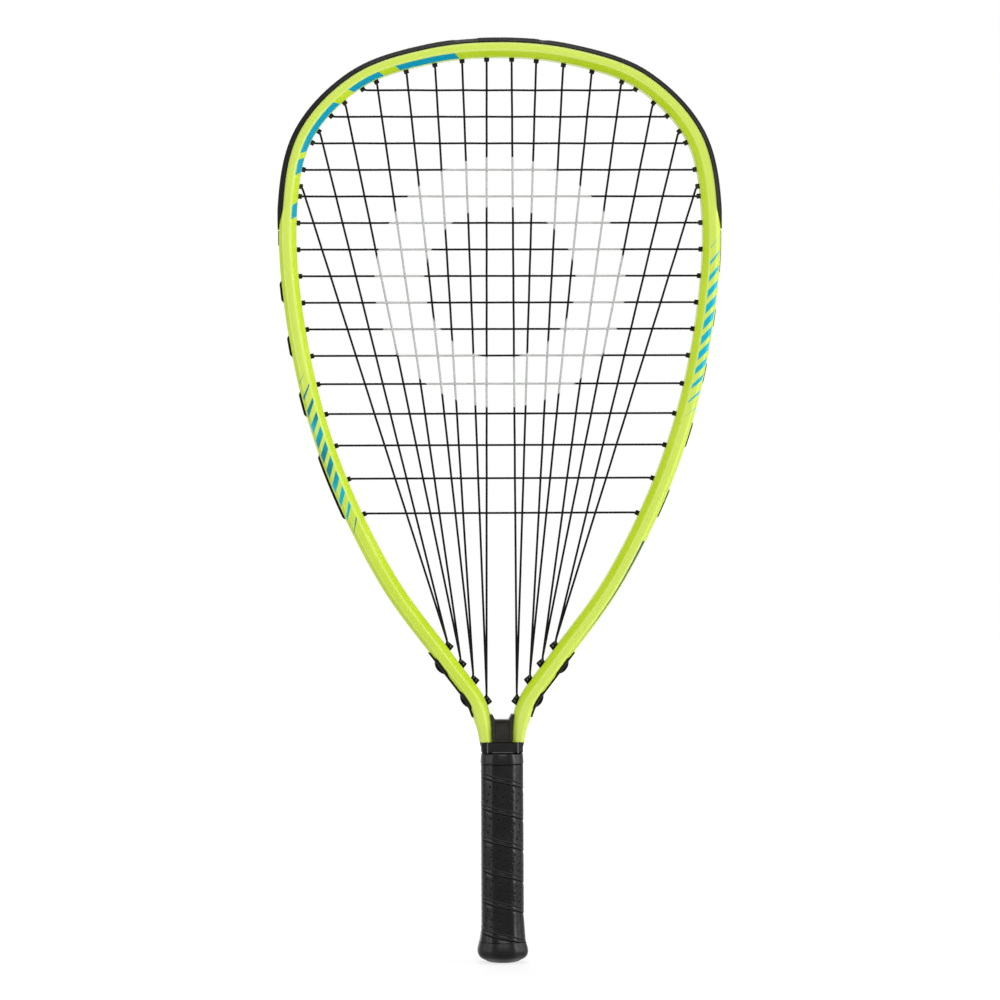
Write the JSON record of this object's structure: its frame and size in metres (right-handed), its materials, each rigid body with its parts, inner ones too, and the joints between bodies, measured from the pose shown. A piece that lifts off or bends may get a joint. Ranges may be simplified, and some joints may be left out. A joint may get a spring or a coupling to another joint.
{
  "type": "racquetball racket",
  "caption": "Strung racquetball racket: bent hollow frame with a teardrop head, woven fanned strings, bumper guard, throat bridge and short octagonal taped handle with a flared butt cap.",
  "frame": {"origin": "middle of the grip, on the handle's axis", "axes": "+Z from the butt up to the head, +X across the face to the right seen from the front, +Y through the face to the back"},
  "size_m": [0.2688, 0.0348, 0.5588],
  "materials": {
    "frame_paint": "gloss",
    "bumper_nylon": "satin",
    "grommet_nylon": "satin",
    "string": "gloss",
    "bridge_plastic": "satin",
    "pallet_foam": "matte",
    "cap_rubber": "matte",
    "staple_steel": "satin",
    "grip_tape": "matte",
    "collar_rubber": "satin"
  },
  "bodies": {
    "root": {"frame_tube": "frame_paint", "bumper_guard": "bumper_nylon", "side_grommet_strip_left": "grommet_nylon", "side_grommet_strip_right": "grommet_nylon", "string_guide_left": "grommet_nylon", "string_guide_right": "grommet_nylon", "throat_grommet_left_1": "grommet_nylon", "throat_grommet_left_2": "grommet_nylon", "throat_grommet_left_3": "grommet_nylon", "throat_grommet_left_4": "grommet_nylon", "throat_grommet_right_1": "grommet_nylon", "throat_grommet_right_2": "grommet_nylon", "throat_grommet_right_3": "grommet_nylon", "throat_grommet_right_4": "grommet_nylon", "main_strings": "string", "cross_strings": "string", "throat_bridge": "bridge_plastic", "handle_pallet_front": "pallet_foam", "handle_pallet_back": "pallet_foam", "butt_cap": "cap_rubber", "butt_cap_staple_left": "staple_steel", "butt_cap_staple_right": "staple_steel", "grip_tape": "grip_tape", "grip_collar": "collar_rubber"}
  },
  "joints": []
}
